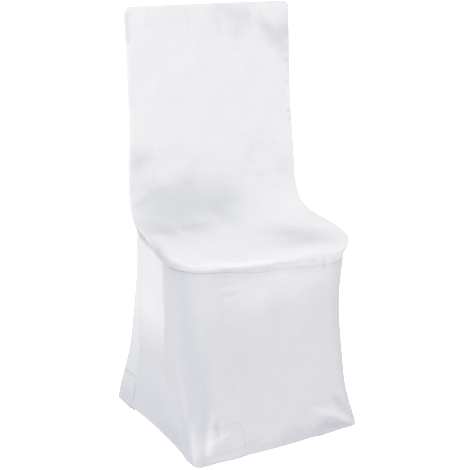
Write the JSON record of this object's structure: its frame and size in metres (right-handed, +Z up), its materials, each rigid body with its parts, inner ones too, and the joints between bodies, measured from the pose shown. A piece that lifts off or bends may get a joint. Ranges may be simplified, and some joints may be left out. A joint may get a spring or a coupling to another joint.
{
  "type": "dining chair cover",
  "caption": "Fitted stretch cover for a high-backed dining chair: a hollow knit shell with a sleeve for the back, a seat top, a long skirt and a pocket for each foot.",
  "frame": {"origin": "on the floor, under the middle of the cover", "axes": "+Z up, -Y the way the chair faces, +X to the right of a viewer who looks at the front"},
  "size_m": [0.5244, 0.4318, 1.013],
  "materials": {
    "outside_back_knit": "matt stretch knit, white",
    "front_panel_knit": "matt stretch knit, white",
    "skirt_knit": "matt stretch knit, white",
    "foot_pocket_knit": "matt stretch knit, doubled, white"
  },
  "bodies": {
    "root": {"outside_back": "outside_back_knit", "front_panel": "front_panel_knit", "skirt": "skirt_knit", "foot_pocket_front_left": "foot_pocket_knit", "foot_pocket_front_right": "foot_pocket_knit", "foot_pocket_rear_right": "foot_pocket_knit", "foot_pocket_rear_left": "foot_pocket_knit"}
  },
  "joints": []
}
